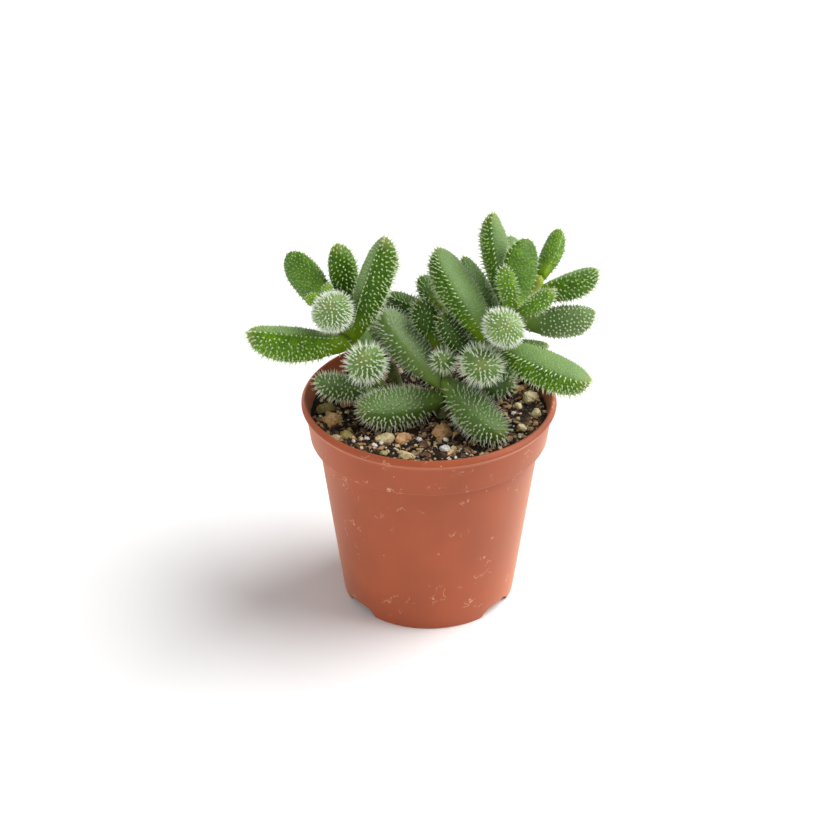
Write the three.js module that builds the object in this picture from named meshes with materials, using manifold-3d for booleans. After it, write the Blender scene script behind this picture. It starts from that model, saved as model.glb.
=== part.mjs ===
// A pickle plant, Delosperma echinatum, in a 5.5 cm nursery pot.
// Millimetres, +Z up. The origin is the middle of the pot's foot on the surface that it stands on.

import * as THREE from 'three';
import { mergeVertices } from 'three/addons/utils/BufferGeometryUtils.js';
import Module from 'manifold-3d';

const wasm = await Module();
wasm.setup();

// Driving dimensions
const gap = 0.3;
const pot = {
  height: 48.3,
  rimHeight: 47.5,
  rimRadius: 27.5,
  lipWidth: 1.1,
  collarBottom: 39,
  collarRadius: 25.7,
  lipReach: 0.9,
  lipDrop: 1.5,
  shoulderRadius: 24.1,
  footRadius: 19.1,
  footWidth: 1.3,
  wall: 0.95,
  floorHeight: 2.1,
  floorThickness: 0.9,
  sides: 48,
};
const notch = { angle: 52, width: 9.4, topWidth: 5.6, height: 1.9, depth: 6 };
const drain = { radius: 2.4, ring: 11.5, count: 4, sides: 10 };
const soil = { edgeLevel: 44.2, middleLevel: 43.1, dish: 4, roughness: 0.35, sides: 36 };
const grit = { count: 40, smallest: 0.8, largest: 1.5, seed: 11 };
const stemRadius = 1.3;
const leafShape = {
  neck: 0.42, belly: 0.56, topHeight: 0.44, underside: 1.16, plumpTop: 0.8, plumpUnder: 0.92, sides: 8,
};
const ringShares = [0, 0.16, 0.33, 0.5, 0.67, 0.82, 0.94];
const spine = { root: 0.42, under: 1.3, top: 0.75, lean: 0.55, clearance: 0.35 };

// Each shoot rises from its root in the soil, bends once and ends in a growing tip.
const shoots = {
  left: { root: [-5, 2, 38], bend: [-11, 3, 52], tip: [-22.5, 1, 70.8] },
  right: { root: [7, 2.5, 38], bend: [9, 2, 53], tip: [17.8, -1.5, 68.8] },
  middle: { root: [2, -0.5, 38], bend: [4.8, -0.5, 50], tip: [2.5, 10.5, 64] },
  back_left: { root: [-4, 8, 38], bend: [-8, 12, 50], tip: [-17.5, 12, 64] },
  back_right: { root: [9, 9, 38], bend: [15, 12, 54], tip: [23.5, 11, 70.5] },
};

// Leaves sit on a shoot at a share of its length. Turn is about +Z from +X and lift is above level, in
// degrees. Roll turns the flat upper face about the leaf. Bow pushes the middle towards that face. Plump
// is 0 for a leaf with a flat upper face and 1 for one that is nearly round.
const leaf = (name, shoot, share, turn, lift, roll, length, width, bow = 0, plump = 0) =>
  ({ name, shoot, share, turn, lift, roll, length, width, bow, plump });

const leaves = [
  leaf('left_low_side', 'left', 0.36, -170, 19, 5, 13.8, 6.4, 0.3),
  leaf('left_low_front', 'left', 0.55, -95, 36, 0, 15, 8, 0, 0.8),
  leaf('left_low_back', 'left', 0.5, 130, 50, 0, 9, 6),
  leaf('left_big_side', 'left', 0.76, -159, 16, 18, 21.3, 9.2, -0.3),
  leaf('left_big_upright', 'left', 0.77, -7, 73, -12, 23, 8.6, 0.5),
  leaf('left_head_front', 'left', 0.9, -95, 39, 0, 13.5, 8.2, 0, 0.8),
  leaf('left_head_back', 'left', 0.93, 125, 21, -25, 17, 7.2),
  leaf('left_bud_front', 'left', 1, -125, 30, 0, 3.6, 3.2, 0, 0.4),
  leaf('left_bud_back', 'left', 1, -61, 60, 0, 3.6, 3, 0, 0.4),
  leaf('right_low_side', 'right', 0.42, -34, 25, 0, 8.6, 4.8),
  leaf('right_low_back', 'right', 0.3, 20, 40, 0, 12, 6),
  leaf('right_low_front', 'right', 0.62, -94, 28, 0, 15, 8.3, 0, 0.8),
  leaf('right_big_upright', 'right', 0.77, 134, 43, 13, 22, 9.6, 0.4),
  leaf('right_big_side', 'right', 0.78, -37, -4, -8, 22, 9.4, 0.4),
  leaf('right_head_front', 'right', 0.9, -90, 33, 0, 13.5, 8.2, 0, 0.8),
  leaf('right_head_back', 'right', 0.99, 70, 50, 5, 15.5, 7.6),
  leaf('right_young_upright', 'right', 1, 176, 78, 80, 9.5, 4.2),
  leaf('right_young_side', 'right', 1, -23, 42, -24, 9.5, 4.8),
  leaf('middle_ground_left', 'middle', 0.37, -156, 5, -10, 18.4, 9.6, 0, 0.5),
  leaf('middle_ground_right', 'middle', 0.49, -55, -11, -17, 19.5, 9.6, 0, 0.5),
  leaf('middle_wide', 'middle', 0.54, 147, 40, -10, 18.4, 9.8, 0.3, 0.3),
  leaf('middle_small_front', 'middle', 0.66, -94, 28, 0, 9.5, 4.4, 0, 0.8),
  leaf('right_low_inner', 'right', 0.56, 168, 56, -10, 13, 5.6),
  leaf('middle_high_left', 'middle', 0.965, 136, 0, 5, 14, 7.2),
  leaf('middle_high_back', 'middle', 0.8, 150, 62, 0, 9.5, 6.2),
  leaf('middle_tip', 'middle', 1, 108, 13, 0, 9.5, 5.6),
  leaf('back_left_upright', 'back_left', 1, -128, 75, -10, 14.5, 6.8),
  leaf('back_left_inner', 'back_left', 1, 42, 32, 0, 14, 6.4),
  leaf('back_left_outer', 'back_left', 0.75, 80, 0, 0, 14, 6.8),
  leaf('back_left_low', 'back_left', 0.66, 28, 0, 0, 15.5, 6.4),
  leaf('back_right_inner', 'back_right', 0.62, 128, 39, 0, 18, 6.6),
  leaf('back_right_low', 'back_right', 0.4, 150, 40, 0, 13, 6.4),
  leaf('back_right_small', 'back_right', 0.56, -30, 10, 0, 9, 4.6),
  leaf('back_right_side', 'back_right', 0.72, 10, 0, -51, 16, 8.2),
  leaf('back_right_upright', 'back_right', 0.76, 176, 78, -18, 22.8, 7.2),
  leaf('back_right_outer', 'back_right', 0.91, 23, 9, -65, 14.6, 7),
  leaf('back_right_back', 'back_right', 0.9, 105, 28, 0, 14, 6.6),
  leaf('back_right_top', 'back_right', 1, 71, 21, -68, 13.5, 5.4),
];

// The gravel that stands out of the soil: place, size along its own axes, and turn about +Z.
const stones = [
  { name: 'tan', place: [-17.4, 4.5], size: [4.2, 3.4, 3.2], turn: 20, colour: 0xb08f6a },
  { name: 'olive', place: [-22.6, 1.4], size: [4.4, 2.6, 2.4], turn: 15, colour: 0xa59a63 },
  { name: 'orange', place: [-21, -2.9], size: [4.6, 3, 2.6], turn: 25, colour: 0xd8b389 },
  { name: 'cream_cluster', place: [-9.3, -10.7], size: [4.2, 2.8, 2.4], turn: 10, colour: 0xe2d6b4 },
  { name: 'rust', place: [-5.5, -10.3], size: [3.8, 2.8, 2.6], turn: 40, colour: 0xcfa877 },
  { name: 'angular', place: [2.8, -7.6], size: [4.2, 4, 3.4], turn: 70, colour: 0xb59b82 },
  { name: 'white', place: [3.2, -14], size: [2.2, 2.2, 2], turn: 0, colour: 0xeeeae0 },
  { name: 'pale', place: [-4.9, -17.9], size: [3.4, 2.2, 2], turn: 5, colour: 0xeadfbf },
  { name: 'yellow', place: [22.3, 5.9], size: [3.8, 3, 2.8], turn: 60, colour: 0xdfcf9a },
];

const colours = { pot: 0xb4603f, soil: 0x3b2c22, stem: 0x8fa257, leaf: 0x5d8f45, youngLeaf: 0x9fbf45 };

// A solid for cutting and joining, from any closed three.js geometry
function solidOf(geometry) {
  const bare = geometry.index ? geometry.clone() : mergeVertices(geometry);
  bare.deleteAttribute('normal');
  bare.deleteAttribute('uv');
  const merged = mergeVertices(bare, 1e-4);
  const corners = merged.index.array;
  const triangles = [];
  for (let i = 0; i < corners.length; i += 3) {
    const [a, b, c] = corners.slice(i, i + 3);
    if (a !== b && b !== c && c !== a) triangles.push(a, b, c);
  }
  return new wasm.Manifold(new wasm.Mesh({
    numProp: 3,
    vertProperties: new Float32Array(merged.attributes.position.array),
    triVerts: new Uint32Array(triangles),
  }));
}

function geometryOf(solid) {
  const mesh = solid.getMesh();
  const geometry = new THREE.BufferGeometry();
  geometry.setAttribute('position', new THREE.BufferAttribute(mesh.vertProperties, 3));
  geometry.setIndex(new THREE.BufferAttribute(mesh.triVerts, 1));
  geometry.computeVertexNormals();
  return geometry;
}

function named(name, geometry, colour, roughness) {
  const material = new THREE.MeshStandardMaterial({ color: colour, roughness, metalness: 0 });
  const mesh = new THREE.Mesh(geometry, material);
  mesh.name = name;
  return mesh;
}

// A repeatable draw between 0 and 1
function makeDraw(seed) {
  let state = seed;
  return () => {
    state = (state * 16807) % 2147483647;
    return state / 2147483647;
  };
}

const vector = (values) => new THREE.Vector3(...values);
const degrees = THREE.MathUtils.degToRad;

function lathe(profile, sides) {
  const geometry = new THREE.LatheGeometry(profile.map(([r, z]) => new THREE.Vector2(r, z)), sides);
  geometry.rotateX(Math.PI / 2);
  return geometry;
}

// Pot: one thin moulded wall with a collar, a lip that slopes outwards, a raised floor and a notched foot
// ring

const innerFoot = pot.footRadius - 0.7;
const innerShoulder = pot.shoulderRadius - pot.wall;
const floorTop = pot.floorHeight + pot.floorThickness;
const innerCollarBottom = pot.collarBottom + 0.8;

function innerRadius(z) {
  if (z < pot.collarBottom) {
    const share = (z - floorTop) / (pot.collarBottom - floorTop);
    return innerFoot + (innerShoulder - innerFoot) * share;
  }
  const top = pot.rimRadius - pot.lipWidth;
  const bottom = pot.collarRadius - pot.wall;
  return bottom + (top - bottom) * (z - innerCollarBottom) / (pot.height - innerCollarBottom);
}

function makePot() {
  const lipInner = pot.rimRadius - pot.lipWidth;
  const profile = [
    [0, pot.floorHeight],
    [pot.footRadius - pot.footWidth, pot.floorHeight],
    [pot.footRadius - pot.footWidth, 0],
    [pot.footRadius, 0],
    [pot.shoulderRadius, pot.collarBottom],
    [pot.collarRadius, pot.collarBottom + 0.3],
    [pot.rimRadius - pot.lipReach, pot.rimHeight - pot.lipDrop],
    [pot.rimRadius, pot.rimHeight - 0.35],
    [pot.rimRadius - 0.1, pot.rimHeight + 0.05],
    [lipInner + 0.4, pot.height - 0.1],
    [lipInner + 0.1, pot.height],
    [lipInner, pot.height - 0.25],
    [innerRadius(innerCollarBottom), innerCollarBottom],
    [innerShoulder, pot.collarBottom - 0.4],
    [innerFoot, floorTop],
    [0, floorTop],
  ];
  let body = solidOf(lathe(profile, pot.sides));
  const half = notch.width / 2;
  const halfTop = notch.topWidth / 2;
  const outline = new THREE.Shape();
  outline.moveTo(-half, -1);
  outline.lineTo(half, -1);
  outline.lineTo(half, 0);
  outline.quadraticCurveTo(halfTop + 0.6, notch.height, halfTop - 0.6, notch.height);
  outline.lineTo(0.6 - halfTop, notch.height);
  outline.quadraticCurveTo(-halfTop - 0.6, notch.height, -half, 0);
  for (const side of [-1, 1]) {
    for (const facing of [0, 180]) {
      const cutter = new THREE.ExtrudeGeometry(outline, {
        depth: notch.depth, bevelEnabled: false, curveSegments: 3,
      });
      cutter.rotateX(Math.PI / 2);
      cutter.translate(0, 3 - innerFoot, 0);
      cutter.rotateZ(degrees(facing + side * notch.angle));
      body = body.subtract(solidOf(cutter));
    }
  }
  for (let i = 0; i < drain.count; i++) {
    const hole = new THREE.CylinderGeometry(drain.radius, drain.radius, 4, drain.sides);
    hole.rotateX(Math.PI / 2);
    hole.translate(drain.ring, 0, pot.floorHeight);
    hole.rotateZ(2 * Math.PI * i / drain.count);
    body = body.subtract(solidOf(hole));
  }
  return named('pot', geometryOf(body), colours.pot, 0.55);
}

// Stems: round tubes from the soil to the rounded growing tips

function stemCurve(shoot) {
  return new THREE.QuadraticBezierCurve3(vector(shoot.root), vector(shoot.bend), vector(shoot.tip));
}

function stemGeometry(shoot, growth) {
  const section = new THREE.Shape();
  section.absarc(0, 0, stemRadius + growth, 0, 2 * Math.PI);
  const geometry = new THREE.ExtrudeGeometry(section, {
    steps: 8, curveSegments: 4, bevelEnabled: false, extrudePath: stemCurve(shoot),
  });
  geometry.translate(0, 0, -growth);
  return geometry;
}

function makeStem(name, shoot) {
  const tip = new THREE.IcosahedronGeometry(0.9 * stemRadius, 1);
  tip.translate(...shoot.tip);
  const body = solidOf(stemGeometry(shoot, 0)).add(solidOf(tip));
  return named(`stem_${name}`, geometryOf(body), colours.stem, 0.6);
}

// Leaves: a flat upper face meets a round underside at two keeled edges

function halfWidth(share) {
  const { neck, belly } = leafShape;
  if (share < belly) return 1 - (1 - neck) * (1 - share / belly) ** 2;
  return Math.sqrt(Math.max(0, 1 - ((share - belly) / (1 - belly)) ** 2.3));
}

// How far a leaf's upper face or its underside stands out, as a share of its half width
function faceHeight(row, above) {
  const { topHeight, underside, plumpTop, plumpUnder } = leafShape;
  return above > 0 ? topHeight + (plumpTop - topHeight) * row.plump
    : underside + (plumpUnder - underside) * row.plump;
}

function leafFrame(row) {
  const curve = stemCurve(shoots[row.shoot]);
  const foot = curve.getPoint(row.share);
  const growth = curve.getTangent(row.share);
  const turn = degrees(row.turn);
  const lift = degrees(row.lift);
  const along = new THREE.Vector3(
    Math.cos(lift) * Math.cos(turn), Math.cos(lift) * Math.sin(turn), Math.sin(lift));
  const out = along.clone();
  if (row.share < 1) out.addScaledVector(growth, -along.dot(growth)).normalize();
  const base = foot.addScaledVector(out, stemRadius + gap);
  const up = growth.clone().addScaledVector(along, -growth.dot(along)).normalize();
  up.applyAxisAngle(along, degrees(row.roll));
  const side = up.clone().cross(along);
  return { base, along, up, side, out };
}

const frames = new Map(leaves.map((row) => [row.name, leafFrame(row)]));

function sectionPoint(row, frame, share, angle) {
  const half = halfWidth(share) * row.width / 2;
  const height = faceHeight(row, Math.sin(angle));
  return frame.base.clone()
    .addScaledVector(frame.along, row.length * share)
    .addScaledVector(frame.up, row.bow * 4 * share * (1 - share) + height * half * Math.sin(angle))
    .addScaledVector(frame.side, half * Math.cos(angle));
}

// True where a point is inside a leaf's body or nearer to it than the clearance
function meetsLeaf(point, row, clearance) {
  const frame = frames.get(row.name);
  const local = point.clone().sub(frame.base);
  const reach = local.dot(frame.along);
  if (reach < -clearance || reach > row.length + clearance) return false;
  const share = THREE.MathUtils.clamp(reach / row.length, 0, 1);
  const half = halfWidth(share) * row.width / 2 + clearance;
  const across = local.dot(frame.side) / half;
  const above = local.dot(frame.up) - row.bow * 4 * share * (1 - share);
  const height = faceHeight(row, above);
  return Math.hypot(across, above / (height * (half - clearance) + clearance)) < 1;
}

const stemSamples = Object.values(shoots).flatMap((shoot) => stemCurve(shoot).getPoints(24));

function soilLevel(x, y) {
  const r = Math.hypot(x, y) / innerRadius(soil.edgeLevel);
  const level = soil.middleLevel + (soil.edgeLevel - soil.middleLevel) * r ** soil.dish;
  return level + soil.roughness * Math.sin(0.9 * x + 1.3) * Math.cos(0.8 * y)
    + 0.6 * soil.roughness * Math.sin(1.9 * x - 1.3 * y);
}

function isFree(point, owner, clearance) {
  if (point.z < soilLevel(point.x, point.y) + clearance) return false;
  const wallBand = point.z < pot.height + clearance;
  if (wallBand && Math.hypot(point.x, point.y) > pot.rimRadius - pot.lipWidth - clearance) return false;
  if (stemSamples.some((sample) => sample.distanceTo(point) < stemRadius + clearance)) return false;
  return !leaves.some((row) => row !== owner && meetsLeaf(point, row, clearance));
}

function makeLeaf(row) {
  const frame = frames.get(row.name);
  const { sides } = leafShape;
  const rings = row.length < 5 ? [0, 0.35, 0.75] : ringShares;
  const points = [];
  const triangles = [];
  for (const share of rings) {
    for (let j = 0; j < sides; j++) {
      const point = sectionPoint(row, frame, share, 2 * Math.PI * j / sides);
      if (share === 0) {
        const drop = point.clone().sub(frame.base).dot(frame.out) / frame.along.dot(frame.out);
        point.addScaledVector(frame.along, -drop);
      }
      points.push(point);
    }
  }
  const baseMiddle = points.push(frame.base.clone()) - 1;
  const tip = points.push(sectionPoint(row, frame, 1, 0)) - 1;
  const spineSize = Math.min(1, 0.45 + row.length / 24);

  // A spine stands on a small triangle set into a face, and leans towards the leaf's tip.
  const addFace = (a, b, c, spineLength) => {
    if (!spineLength) {
      triangles.push(a, b, c);
      return;
    }
    const corners = [points[a], points[b], points[c]];
    const middle = corners[0].clone().add(corners[1]).add(corners[2]).divideScalar(3);
    const normal = corners[1].clone().sub(corners[0]).cross(corners[2].clone().sub(corners[0])).normalize();
    const point = normal.clone().addScaledVector(frame.along, spine.lean).normalize()
      .multiplyScalar(spineLength).add(middle);
    if (!isFree(point, row, spine.clearance)) {
      triangles.push(a, b, c);
      return;
    }
    const inner = corners.map((corner) => {
      const arm = corner.clone().sub(middle);
      return points.push(middle.clone().addScaledVector(arm.normalize(), spine.root * spineSize / 1.7)) - 1;
    });
    const apex = points.push(point) - 1;
    const outer = [a, b, c];
    for (let k = 0; k < 3; k++) {
      const next = (k + 1) % 3;
      triangles.push(outer[k], outer[next], inner[next]);
      triangles.push(outer[k], inner[next], inner[k]);
      triangles.push(inner[k], inner[next], apex);
    }
  };

  const faceSpine = (j) => spineSize * (j < sides / 2 ? spine.top : spine.under);
  for (let j = 0; j < sides; j++) {
    const next = (j + 1) % sides;
    triangles.push(baseMiddle, next, j);
    for (let i = 0; i < rings.length - 1; i++) {
      const a = i * sides + j;
      const b = i * sides + next;
      const hasSpine = (i + j) % 2 === 0;
      addFace(a, b, b + sides, hasSpine ? faceSpine(j) : 0);
      triangles.push(a, b + sides, a + sides);
    }
    const last = (rings.length - 1) * sides;
    addFace(last + j, last + next, tip, j % 2 ? faceSpine(j) : 0);
  }
  const geometry = new THREE.BufferGeometry().setFromPoints(points);
  geometry.setIndex(triangles);
  geometry.computeVertexNormals();
  return named(`leaf_${row.name}`, geometry, row.length < 11 ? colours.youngLeaf : colours.leaf, 0.6);
}

// Stones: rough angular gravel, each bedded to its middle in the soil

function stoneGeometry(stone, growth) {
  const geometry = new THREE.DodecahedronGeometry(1, 0);
  const position = geometry.attributes.position;
  for (let i = 0; i < position.count; i++) {
    const point = new THREE.Vector3().fromBufferAttribute(position, i);
    const lump = 1 + 0.13 * Math.sin(5 * point.x + stone.turn) + 0.1 * Math.cos(4 * point.y + 3 * point.z);
    point.multiplyScalar(lump);
    position.setXYZ(i, point.x, point.y, point.z);
  }
  geometry.scale(...stone.size.map((size) => size / 2 + growth));
  geometry.rotateZ(degrees(stone.turn));
  const [x, y] = stone.place;
  geometry.translate(x, y, soilLevel(x, y) + stone.size[2] * 0.12);
  return geometry;
}

// Soil: fills the pot, with its top raised by a formula and small grit fused into it

function makeSoil() {
  const floor = floorTop + gap;
  const edge = innerRadius(soil.edgeLevel) - gap;
  const profile = [
    [0, floor],
    [innerRadius(floor) - gap, floor],
    [innerShoulder - gap, pot.collarBottom - 0.25],
    [innerRadius(innerCollarBottom) - gap, innerCollarBottom + 0.15],
    [edge, soil.edgeLevel],
  ];
  const rings = 8;
  for (let i = 1; i <= rings; i++) profile.push([edge * (1 - i / rings), soil.edgeLevel]);
  const geometry = lathe(profile, soil.sides);
  const position = geometry.attributes.position;
  for (let i = 0; i < position.count; i++) {
    if (position.getZ(i) > soil.edgeLevel - 0.01) {
      position.setZ(i, soilLevel(position.getX(i), position.getY(i)));
    }
  }
  let body = solidOf(geometry);

  const draw = makeDraw(grit.seed);
  const golden = Math.PI * (3 - Math.sqrt(5));
  for (let i = 0; i < grit.count; i++) {
    const radius = grit.smallest + (grit.largest - grit.smallest) * draw();
    const reach = (edge - 2) * Math.sqrt((i + 0.5) / grit.count);
    const angle = golden * i + draw();
    const middle = new THREE.Vector3(reach * Math.cos(angle), reach * Math.sin(angle), 0);
    middle.z = soilLevel(middle.x, middle.y) + 0.05 * radius;
    const nearStone = stones.some(({ place, size }) =>
      Math.hypot(place[0] - middle.x, place[1] - middle.y) < size[0] / 2 + radius + 0.5);
    if (nearStone || !isFree(middle.clone().setZ(middle.z + radius), null, radius * 0.9)) continue;
    const grain = new THREE.OctahedronGeometry(radius, 0);
    grain.rotateX(draw() * 3);
    grain.rotateZ(draw() * 3);
    grain.scale(1.2, 1, 0.85);
    grain.translate(middle.x, middle.y, middle.z);
    body = body.add(solidOf(grain));
  }
  for (const shoot of Object.values(shoots)) {
    body = body.subtract(solidOf(stemGeometry(shoot, gap)));
  }
  for (const stone of stones) body = body.subtract(solidOf(stoneGeometry(stone, gap)));
  return named('soil', geometryOf(body), colours.soil, 0.95);
}

const plant = new THREE.Group();
plant.add(makePot(), makeSoil());
for (const [name, shoot] of Object.entries(shoots)) plant.add(makeStem(name, shoot));
for (const row of leaves) plant.add(makeLeaf(row));
for (const stone of stones) {
  plant.add(named(`stone_${stone.name}`, stoneGeometry(stone, 0), stone.colour, 0.9));
}

export default plant;
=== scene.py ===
# A pickle plant, Delosperma echinatum, in a 5.5 cm nursery pot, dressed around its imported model.
# Sizes in the dictionaries are millimetres. The finished meshes are in metres.
import bpy
import math
from functools import partial
from mathutils import Matrix, Vector, noise


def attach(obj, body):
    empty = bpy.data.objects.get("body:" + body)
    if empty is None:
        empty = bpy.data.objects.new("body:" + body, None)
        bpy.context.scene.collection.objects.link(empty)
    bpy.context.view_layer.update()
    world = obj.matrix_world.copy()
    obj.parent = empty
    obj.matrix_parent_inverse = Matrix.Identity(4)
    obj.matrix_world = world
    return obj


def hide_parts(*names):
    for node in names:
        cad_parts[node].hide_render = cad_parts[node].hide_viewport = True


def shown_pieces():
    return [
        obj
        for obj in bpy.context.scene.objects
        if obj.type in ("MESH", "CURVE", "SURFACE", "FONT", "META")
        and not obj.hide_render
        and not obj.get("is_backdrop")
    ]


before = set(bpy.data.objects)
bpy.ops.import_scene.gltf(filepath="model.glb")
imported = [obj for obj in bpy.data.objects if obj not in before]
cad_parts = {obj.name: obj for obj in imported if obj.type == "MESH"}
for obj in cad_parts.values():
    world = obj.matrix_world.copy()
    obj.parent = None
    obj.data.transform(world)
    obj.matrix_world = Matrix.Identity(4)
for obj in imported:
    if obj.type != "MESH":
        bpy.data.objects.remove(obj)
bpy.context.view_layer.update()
scene = bpy.context.scene
mm = 0.001
print("frame loaded:", len(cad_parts), "nodes")


# Helpers

def linear(hexColour):
    channels = [int(hexColour[i:i + 2], 16) / 255 for i in (0, 2, 4)]
    return *(c / 12.92 if c < 0.04045 else ((c + 0.055) / 1.055) ** 2.4 for c in channels), 1.0


def plug(node, links):
    # an input gets the link from an output, the links of a list, or a plain value
    for name, value in links.items():
        for source in value if isinstance(value, list) else [value]:
            if isinstance(source, bpy.types.NodeSocket):
                node.id_data.links.new(source, node.inputs[name])
            else:
                node.inputs[name].default_value = source


def addNode(tree, kind, links=None, out=0, stops=(), curve=(), **settings):
    # adds one node and gives back one of its outputs
    node = tree.nodes.new(kind)
    for name, value in settings.items():
        setattr(node, name, value)
    if stops:  # a colour ramp's places and colours
        elements = node.color_ramp.elements
        elements.remove(elements[1])
        elements[0].position, elements[0].color = stops[0][0], linear(stops[0][1])
        for place, colour in stops[1:]:
            elements.new(place).color = linear(colour)
    if curve:  # a float curve's points
        points = node.mapping.curves[0].points
        while len(points) < len(curve):
            points.new(0.5, 0.5)
        for point, place in zip(points, curve):
            point.location = place
            point.handle_type = "VECTOR"
        node.mapping.update()
    plug(node, links or {})
    return node.outputs[out]


def newTree(name, inputs):
    tree = bpy.data.node_groups.new(name, "GeometryNodeTree")
    tree.interface.new_socket("Geometry", in_out="INPUT", socket_type="NodeSocketGeometry")
    tree.interface.new_socket("Geometry", in_out="OUTPUT", socket_type="NodeSocketGeometry")
    for label, value in inputs.items():
        kind = "Vector" if isinstance(value, tuple) else "Int" if isinstance(value, int) else "Float"
        socket = tree.interface.new_socket(label, in_out="INPUT", socket_type="NodeSocket" + kind)
        socket.default_value = value
    given, result = tree.nodes.new("NodeGroupInput").outputs, tree.nodes.new("NodeGroupOutput")
    return tree, partial(addNode, tree), given, result


def newMaterial(name):
    material = bpy.data.materials.new(name)
    material.use_nodes = True
    tree = material.node_tree
    return material, partial(addNode, tree), tree.nodes["Principled BSDF"]


def addPiece(name, mesh):
    piece = bpy.data.objects.new(name, mesh)
    scene.collection.objects.link(piece)
    return piece


def keepResult(piece):
    # what the modifiers make becomes the piece's own mesh
    bpy.context.view_layer.update()
    graph = bpy.context.evaluated_depsgraph_get()
    evaluated = piece.evaluated_get(graph)
    mesh = bpy.data.meshes.new_from_object(evaluated, preserve_all_data_layers=True, depsgraph=graph)
    piece.modifiers.clear()
    piece.data = mesh
    mesh.name = piece.name
    return piece


def grow(name, tree, values, start=None):
    # a tree's result as a plain mesh
    piece = addPiece(name, start or bpy.data.meshes.new(name))
    modifier = piece.modifiers.new("grow", "NODES")
    modifier.node_group = tree
    for item in tree.interface.items_tree:
        if item.in_out == "INPUT" and item.name in values:
            modifier[item.identifier] = values[item.name]
    return keepResult(piece)


# Camera: an 85 mm lens, looking down on the pot from the front

camera = {"lookAt": (-1.93, 0, 42.03), "distance": 430, "elevation": 30.9, "lens": 85}


def makeCamera():
    rise = math.radians(camera["elevation"])
    back = Vector((0, -math.cos(rise), math.sin(rise)))
    data = bpy.data.cameras.new("camera")
    data.lens = camera["lens"]
    data.clip_start, data.clip_end = 0.01, 50
    eye = bpy.data.objects.new("camera", data)
    eye.location = (Vector(camera["lookAt"]) + back * camera["distance"]) * mm
    eye.rotation_euler = (-back).to_track_quat("-Z", "Y").to_euler()
    scene.collection.objects.link(eye)
    scene.camera = eye


# Light: a large soft source from the right, a weak one from the left and a pale room

studio = {
    "keyPower": 3.9, "keyAngle": 60, "keyFrom": (0.74, 0.16, 0.76),
    "fillPower": 1.15, "fillAngle": 60, "fillFrom": (-0.7, -0.65, 0.22),
    "room": "f6f6f6", "roomStrength": 0.36,
    "floor": "fbfbfb", "floorSize": 6,
}


def makeStudio():
    for part in ("key", "fill"):
        data = bpy.data.lights.new(part, "SUN")
        data.energy = studio[part + "Power"]
        data.angle = math.radians(studio[part + "Angle"])
        lamp = bpy.data.objects.new(part, data)
        lamp.rotation_euler = (-Vector(studio[part + "From"])).to_track_quat("-Z", "Y").to_euler()
        scene.collection.objects.link(lamp)
    world = bpy.data.worlds.new("room")
    world.use_nodes = True
    plug(world.node_tree.nodes["Background"], {
        "Color": linear(studio["room"]), "Strength": studio["roomStrength"]})
    scene.world = world
    scene.view_settings.view_transform = "Standard"
    material, _, shader = newMaterial("floorPaper")  # matt white background paper
    plug(shader, {"Base Color": linear(studio["floor"]), "Roughness": 0.9})
    half = studio["floorSize"]
    corners = [(-half, -half, 0), (half, -half, 0), (half, half, 0), (-half, half, 0)]
    mesh = bpy.data.meshes.new("floor")
    mesh.from_pydata(corners, [], [(0, 1, 2, 3)])
    mesh.materials.append(material)
    addPiece("floor", mesh)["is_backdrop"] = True


# Pot: one thin moulded wall of revolution, with a notched foot ring and drain holes

pot = {
    "height": 48.3, "rimHeight": 47.5, "rimRadius": 27.5, "lipWidth": 1.1, "lipReach": 0.9, "lipDrop": 1.5,
    "collarBottom": 39, "collarRadius": 25.7, "ledgeRise": 0.8, "shoulderRadius": 24.1,
    "footRadius": 19.1, "footWidth": 1.3, "footFlare": 0.58, "wall": 0.95, "footWall": 0.7,
    "floorHeight": 2.1, "floorThickness": 0.9, "sides": 360,
    "notchAngle": 52, "notchFoot": 4.7, "notchTop": 2.2, "notchHeight": 1.9, "notchReach": 4.5,
    "drainRadius": 2.4, "drainRing": 11.5, "drainCount": 4, "drainSides": 32,
}
floorTop = pot["floorHeight"] + pot["floorThickness"]
innerFoot = pot["footRadius"] - pot["footWall"]
innerShoulder = pot["shoulderRadius"] - pot["wall"]
ledge = pot["collarBottom"] + pot["ledgeRise"]


def innerRadius(z):
    if z < pot["collarBottom"]:
        share = (z - floorTop) / (pot["collarBottom"] - floorTop)
        return innerFoot + (innerShoulder - innerFoot) * share
    top, bottom = pot["rimRadius"] - pot["lipWidth"], pot["collarRadius"] - pot["wall"]
    return bottom + (top - bottom) * (z - ledge) / (pot["height"] - ledge)


def roundCorners(corners, steps=6):
    # each corner is (radius, z, fillet): the fillet is a curve that starts and ends that far from it
    line = []
    for i, (r, z, fillet) in enumerate(corners):
        here = Vector((r, z))
        if not fillet:
            line.append(here)
            continue
        before = Vector(corners[i - 1][:2]) - here
        after = Vector(corners[i + 1][:2]) - here
        start, end = here + before.normalized() * fillet, here + after.normalized() * fillet
        for k in range(steps + 1):
            t = k / steps
            line.append(start * (1 - t) ** 2 + here * 2 * t * (1 - t) + end * t ** 2)
    return line


def notchLift(r, angle):
    # how high the foot ring is cut away at this place
    lift = 0
    for facing in (-90, 90):
        for side in (-1, 1):
            turn = angle - math.radians(facing + side * pot["notchAngle"])
            if math.cos(turn) < 0:
                continue
            reach = (pot["notchFoot"] - abs(r * math.sin(turn))) / (pot["notchFoot"] - pot["notchTop"])
            reach = min(max(reach, 0), 1)
            lift = max(lift, pot["notchHeight"] * (2 * reach - reach ** 2))
    return lift


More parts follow.
